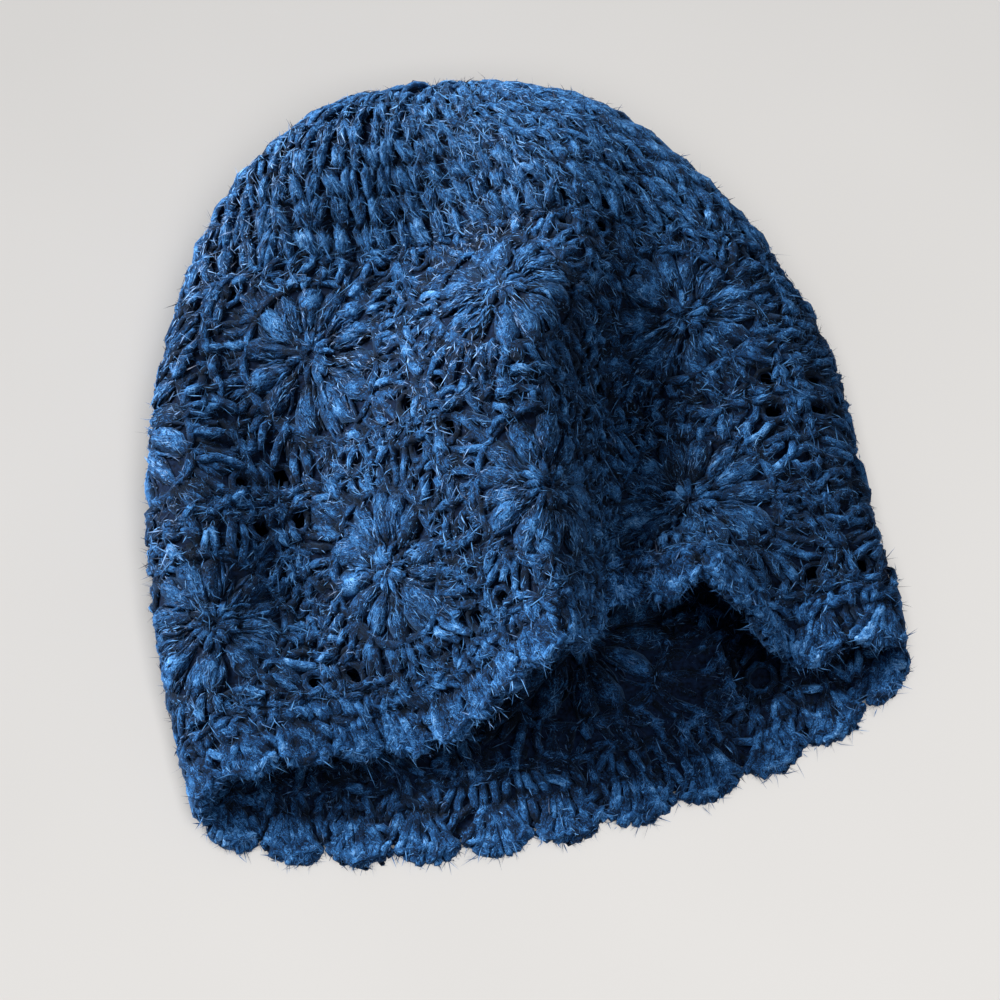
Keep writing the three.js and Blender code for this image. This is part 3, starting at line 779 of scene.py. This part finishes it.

# %% [markdown]
# ## The yarn's finish
# Mohair is brushed until its hairs lie in streaks along the strand. It scatters light softly, and single
# hairs shine a little. Its colour goes from navy in the hollows to a clear mid blue on top, which is painted
# shade. The streaks are noise that is stretched along the strand, so that they follow its turns.

# %% Colours and nodes
def linear(hexa):
    """An sRGB hex colour as linear red, green, blue and alpha."""
    s = np.array([int(hexa[i:i + 2], 16) for i in (1, 3, 5)]) / 255
    return (*np.where(s <= 0.04045, s / 12.92, ((s + 0.055) / 1.055) ** 2.4), 1.0)


def node(tree, kind, settings=None, inputs=None, stops=None):
    """Adds a node, sets its properties, fills or links its inputs and gives a colour ramp its stops."""
    made = tree.nodes.new(kind)
    for name, value in (settings or {}).items():
        setattr(made, name, value)
    for name, value in (inputs or {}).items():
        if isinstance(value, bpy.types.NodeSocket):
            tree.links.new(value, made.inputs[name])
        else:
            made.inputs[name].default_value = value
    for i, (place, hexa) in enumerate(stops or []):
        element = made.color_ramp.elements[i] if i < 2 else made.color_ramp.elements.new(place)
        element.position = place
        element.color = linear(hexa)
    return made


def new_material(name, roughness, specular):
    """A material with its output, its node tree and its main shader."""
    made = bpy.data.materials.new(name)
    made.use_nodes = True
    made.node_tree.nodes.clear()
    shader = node(made.node_tree, "ShaderNodeBsdfPrincipled",
                  inputs={"Roughness": roughness, "Specular IOR Level": specular})
    node(made.node_tree, "ShaderNodeOutputMaterial", inputs={"Surface": shader.outputs["BSDF"]})
    return made, made.node_tree, shader


print("mid blue:", np.round(linear("#16406e")[:3], 3).tolist())


# %% Finishes of the hat
def yarn_material():
    """Brushed mohair yarn: strokes 0.4 mm wide, 2.8 mm long, in many blues, with painted shade where it
    dives.

    Its level of blue is the strand's height, which paints the shade, plus shares of the strand's tone, of the
    strokes, of clumps about 5 mm wide and of hairs 0.17 mm wide. The hairs are drawn wider than real ones, so
    that they show.
    """
    made, tree, shader = new_material("brushed mohair yarn, blue", 0.9, 0.1)
    lay = node(tree, "ShaderNodeAttribute", {"attribute_name": "lay"}).outputs["Vector"]
    drift = node(tree, "ShaderNodeTexNoise",
                 inputs={"Vector": lay, "Scale": 0.5, "Detail": 1.0}).outputs["Color"]
    bent = node(tree, "ShaderNodeVectorMath", {"operation": "MULTIPLY_ADD"},
                {0: drift, 1: (4.0, 5.0, 5.0), 2: lay}).outputs["Vector"]
    wide = node(tree, "ShaderNodeMapping",
                inputs={"Vector": bent, "Scale": (0.36, 2.4, 2.4)}).outputs["Vector"]
    strokes = node(tree, "ShaderNodeTexVoronoi", inputs={"Vector": wide, "Scale": 1.0}).outputs["Color"]
    thin = node(tree, "ShaderNodeMapping",
                inputs={"Vector": bent, "Scale": (0.5, 6.0, 6.0)}).outputs["Vector"]
    hair = node(tree, "ShaderNodeTexNoise",
                inputs={"Vector": thin, "Scale": 1.0, "Detail": 2.0}).outputs["Fac"]
    at = node(tree, "ShaderNodeTexCoord").outputs["Object"]
    clump = node(tree, "ShaderNodeTexNoise",
                 inputs={"Vector": at, "Scale": 190.0, "Detail": 1.0}).outputs["Fac"]
    tone, painted_shade_height = (node(tree, "ShaderNodeAttribute", {"attribute_name": name}).outputs["Fac"]
                   for name in ("tone", "painted_shade_height"))
    # Painted shade: the lower a point lies in the fabric, the darker its blue.
    level = node(tree, "ShaderNodeMapRange", {"clamp": True},
                 {"Value": painted_shade_height, "From Min": 0.4, "From Max": 3.2,
                  "To Min": -0.51, "To Max": -0.21}).outputs["Result"]
    for source, share in ((tone, 0.05), (strokes, 0.42), (clump, 0.6), (hair, 0.36)):
        level = node(tree, "ShaderNodeMath", {"operation": "MULTIPLY_ADD"},
                     {0: source, 1: share, 2: level}).outputs["Value"]
    colour = node(tree, "ShaderNodeValToRGB", inputs={"Fac": level}, stops=[
        (0.2, "#01050c"), (0.38, "#061a34"), (0.53, "#16406e"), (0.68, "#386ea6"), (0.86, "#75a2d0")])
    bump = node(tree, "ShaderNodeBump", inputs={"Height": level, "Strength": 0.5, "Distance": 0.0005})
    tree.links.new(colour.outputs["Color"], shader.inputs["Base Color"])
    tree.links.new(bump.outputs["Normal"], shader.inputs["Normal"])
    shader.inputs["Sheen Weight"].default_value = 0.25
    shader.inputs["Sheen Roughness"].default_value = 0.5
    shader.inputs["Sheen Tint"].default_value = linear("#5e92d0")
    return made


def fibre_material():
    """Single mohair hairs with a silky shine, each with its own blue. They are painted paler than the yarn as
    painted light, and darker where they lie low as painted shade.
    """
    made, tree, shader = new_material("mohair fibre, blue with painted light", 0.5, 0.2)
    tone, painted_shade_height = (node(tree, "ShaderNodeAttribute", {"attribute_name": name}).outputs["Fac"]
                   for name in ("tone", "painted_shade_height"))
    # Painted shade: fibres that lie low in the fabric are painted darker.
    height = node(tree, "ShaderNodeMapRange", {"clamp": True},
                  {"Value": painted_shade_height, "From Min": 0.4, "From Max": 3.4,
                   "To Min": 0.3, "To Max": 0.56}).outputs["Result"]
    level = node(tree, "ShaderNodeMath", {"operation": "MULTIPLY_ADD"},
                 {0: tone, 1: 0.085, 2: height}).outputs["Value"]
    colour = node(tree, "ShaderNodeValToRGB", inputs={"Fac": level}, stops=[
        (0.05, "#051022"), (0.28, "#133052"), (0.48, "#2c598a"), (0.68, "#467ab0"), (0.86, "#6e9ccb"),
        (1.0, "#a3c0e0")])
    tree.links.new(colour.outputs["Color"], shader.inputs["Base Color"])
    return made


def mottled_material(name, roughness, grains_per_metre, detail, dark, light):
    """A matt finish with a mottle between two colours: noise with so many grains to the metre."""
    made, tree, shader = new_material(name, roughness, 0.1)
    at = node(tree, "ShaderNodeTexCoord").outputs["Object"]
    mottle = node(tree, "ShaderNodeTexNoise",
                  inputs={"Vector": at, "Scale": grains_per_metre, "Detail": detail}).outputs["Fac"]
    colour = node(tree, "ShaderNodeValToRGB", inputs={"Fac": mottle}, stops=[(0.3, dark), (0.7, light)])
    tree.links.new(colour.outputs["Color"], shader.inputs["Base Color"])
    return made


# The middle layer is painted dark navy as shade between the stitches, with a fine mottle of about 1.5 mm.
painted_shade_felt = mottled_material("navy felt with painted shade", 0.95, 650.0, 3.0, "#02050e", "#0b1d38")
FINISHES = [yarn_material(), fibre_material(), painted_shade_felt]
print("finishes:", [m.name for m in FINISHES])

# %% [markdown]
# ## From arrays to pieces
# Each piece is one mesh: its strands, its fibres and its felt, each with its own finish. The arrays go
# straight into the mesh, which is quick for so many strands. What lies on the floor is pressed flat there.

# %% Joined meshes
FLOOR_Z = 0.05


def joined_mesh(name, layers):
    """One mesh in metres from layers: points, polygons, finish, lay, tone, painted shade height and facing.
    """
    lay, tone, painted_shade_height, facing, points = (
        np.concatenate([layer[k] for layer in layers]) for k in ("lay", "tone", "painted_shade_height", "facing", "points"))
    points[:, 2] = points[:, 2].clip(FLOOR_Z)
    starts = np.concatenate([[0], np.cumsum([len(layer["points"]) for layer in layers])])
    polygons = [faces + start for layer, start in zip(layers, starts) for faces in layer["polygons"]]
    finish = np.concatenate(
        [np.full(len(faces), layer["finish"]) for layer in layers for faces in layer["polygons"]])
    sizes = np.concatenate([np.full(len(faces), faces.shape[1]) for faces in polygons])
    corners = np.concatenate([faces.ravel() for faces in polygons])
    first = np.concatenate([[0], np.cumsum(sizes)[:-1]])
    mesh = bpy.data.meshes.new(name)
    mesh.vertices.add(len(points))
    mesh.vertices.foreach_set("co", (points / 1000).astype(np.float32).ravel())
    mesh.loops.add(len(corners))
    mesh.loops.foreach_set("vertex_index", corners.astype(np.int32))
    mesh.polygons.add(len(sizes))
    mesh.polygons.foreach_set("loop_start", first.astype(np.int32))
    mesh.polygons.foreach_set("material_index", finish.astype(np.int32))
    mesh.polygons.foreach_set("use_smooth", np.ones(len(sizes), bool))
    for attribute, kind, field, values in (("lay", "FLOAT_VECTOR", "vector", lay),
                                           ("tone", "FLOAT", "value", tone),
                                           ("painted_shade_height", "FLOAT", "value", painted_shade_height)):
        made = mesh.attributes.new(attribute, kind, "POINT")
        made.data.foreach_set(field, values.astype(np.float32).ravel())
    mesh.update()
    mesh.validate()
    mesh.normals_split_custom_set_from_vertices(facing)
    return mesh, int((sizes - 2).sum())


def make_piece(name, families, felt, nap_count, hair_count, outer_share):
    """Joins tubes, fibres and felt into one piece, and puts it in place of its node."""
    made = [strand_tubes(**family) for family in families]
    spine = {part: np.concatenate([one[part] for _, one in made]) for part in made[0][1]}
    layers = [layer for layer, _ in made]
    layers += [nap(spine, nap_count, outer_share), hairs(spine, hair_count, outer_share), felt]
    mesh, triangles = joined_mesh(name, layers)
    for finish in FINISHES:
        mesh.materials.append(finish)
    piece = bpy.data.objects.new("crochet_" + name, mesh)
    bpy.context.scene.collection.objects.link(piece)
    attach(piece, "root")
    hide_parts(name)
    print(name, "triangles:", triangles)
    return triangles


# %% Build the pieces
# Counts of nap and hairs, and the share of them on the outer face. Floor squares show their inner face.
CROWN_FIBRES, EDGING_FIBRES = (48000, 3500, 0.85), (26000, 4000, 0.6)
SHOWN_FIBRES = (14500, 1600, 0.8)
FLOOR_FIBRES = {"upper": (1500, 300, 0.15), "lower": (11000, 1500, 0.15)}

total = make_piece("crown", crown_paths(), crown_felt(), *CROWN_FIBRES)
for ring, top, bottom in (("upper", CROWN_EDGE, SEAM), ("lower", SEAM, BASE)):
    for index in range(SQUARES):
        counts = FLOOR_FIBRES[ring] if index in (0, SQUARES - 1) else SHOWN_FIBRES
        total += make_piece(f"flower_square_{ring}_{index + 1}", square_paths(index, top, bottom),
                            square_felt(index, top, bottom), *counts)
total += make_piece("shell_edging", edging_paths(), edging_felt(), *EDGING_FIBRES)
print("triangles in all:", total)

# %% [markdown]
# ## Floor and light
# The hat lies on a plain pale table. A low lamp at the back on the left models the folds, and a weak one at
# the front on the right fills their shade. A small lamp overhead lights the layer on the floor and the hem,
# so that the mouth can be read. The table has a lamp of its own, because the low lamp would throw a long
# shadow over it. Each lamp lights only what it is meant for.

# %% Floor
FLOOR_HALF = 3
# Matt painted board is pale warm grey, with a mottle too faint to draw the eye.
board = mottled_material("matt board, pale grey", 0.9, 6.0, 2.0, "#dad8d5", "#dddbd8")
corners = FLOOR_HALF * np.array([[-1, -1, 0], [1, -1, 0], [1, 1, 0], [-1, 1, 0]])
floor_mesh = bpy.data.meshes.new("floor")
floor_mesh.from_pydata(corners.tolist(), [], [(0, 1, 2, 3)])
floor_mesh.materials.append(board)
floor = bpy.data.objects.new("floor", floor_mesh)
bpy.context.scene.collection.objects.link(floor)
print("floor, m wide:", 2 * FLOOR_HALF)


# %% Lamps and room light
def towards(vector):
    """Rotation that points an object's -Z along a vector."""
    return Vector(vector).to_track_quat("-Z", "Y").to_euler()


def lamp(name, place, aim, size, watts, hexa, lit):
    """A square area lamp at a place, turned to what it lights, which lights nothing but the given objects."""
    data = bpy.data.lights.new(name, "AREA")
    data.size = size
    data.energy = watts
    data.color = linear(hexa)[:3]
    made = bpy.data.objects.new(name, data)
    made.location = place
    made.rotation_euler = towards(np.array(aim) - np.array(place))
    bpy.context.scene.collection.objects.link(made)
    group = bpy.data.collections.new("lit by the " + name)
    for item in lit:
        group.objects.link(item)
    made.light_linking.receiver_collection = group


hat = [item for item in bpy.context.scene.objects if item.name.startswith("crochet_")]
lower = [item for item in hat if item.name.endswith(("_1", "_7", "edging"))]
lamp("key lamp", (-3.2, 2.9, 2.5), (0, 0, 0.03), 2.8, 1060, "#fffaf5", hat)
lamp("front lamp", (1.3, -1.0, 1.3), (0, -0.05, 0.02), 0.8, 14, "#fff4ea", hat)
lamp("mouth lamp", (-0.15, 0.1, 1.8), (0, -0.15, 0), 0.4, 8, "#f4f8ff", lower)
lamp("table lamp", (0, -1.0, 2.4), (0, -0.4, 0), 2.0, 78, "#fffdfb", [floor])

world = bpy.data.worlds.new("soft room light")
world.use_nodes = True
world.node_tree.nodes["Background"].inputs["Color"].default_value = linear("#e4edfa")
world.node_tree.nodes["Background"].inputs["Strength"].default_value = 0.2
bpy.context.scene.world = world
bpy.context.scene.view_settings.view_transform = "Standard"
print("pieces lit by the key lamp:", len(hat), "by the mouth lamp:", len(lower))

# %% [markdown]
# ## Camera
# The camera looks down from in front of the hem, a little from the left, at the photo's viewing angle.

# %% Camera
AZIMUTH, ELEVATION, DISTANCE = np.radians(-10), np.radians(66), 0.7
SENSOR, VIEW_WIDTH = 36, 0.37  # mm, and metres across the picture at the hat
target = np.array([0, 0, 0.025]) - MIDDLE / 1000
sight = np.array([np.sin(AZIMUTH) * np.cos(ELEVATION), -np.cos(AZIMUTH) * np.cos(ELEVATION),
                  np.sin(ELEVATION)])
camera_data = bpy.data.cameras.new("camera")
camera_data.sensor_width = SENSOR
camera_data.lens = SENSOR * DISTANCE / VIEW_WIDTH
camera = bpy.data.objects.new("camera", camera_data)
camera.location = target + DISTANCE * sight
camera.rotation_euler = towards(-sight)
bpy.context.scene.collection.objects.link(camera)
bpy.context.scene.camera = camera
print("lens, mm:", round(camera_data.lens, 1))
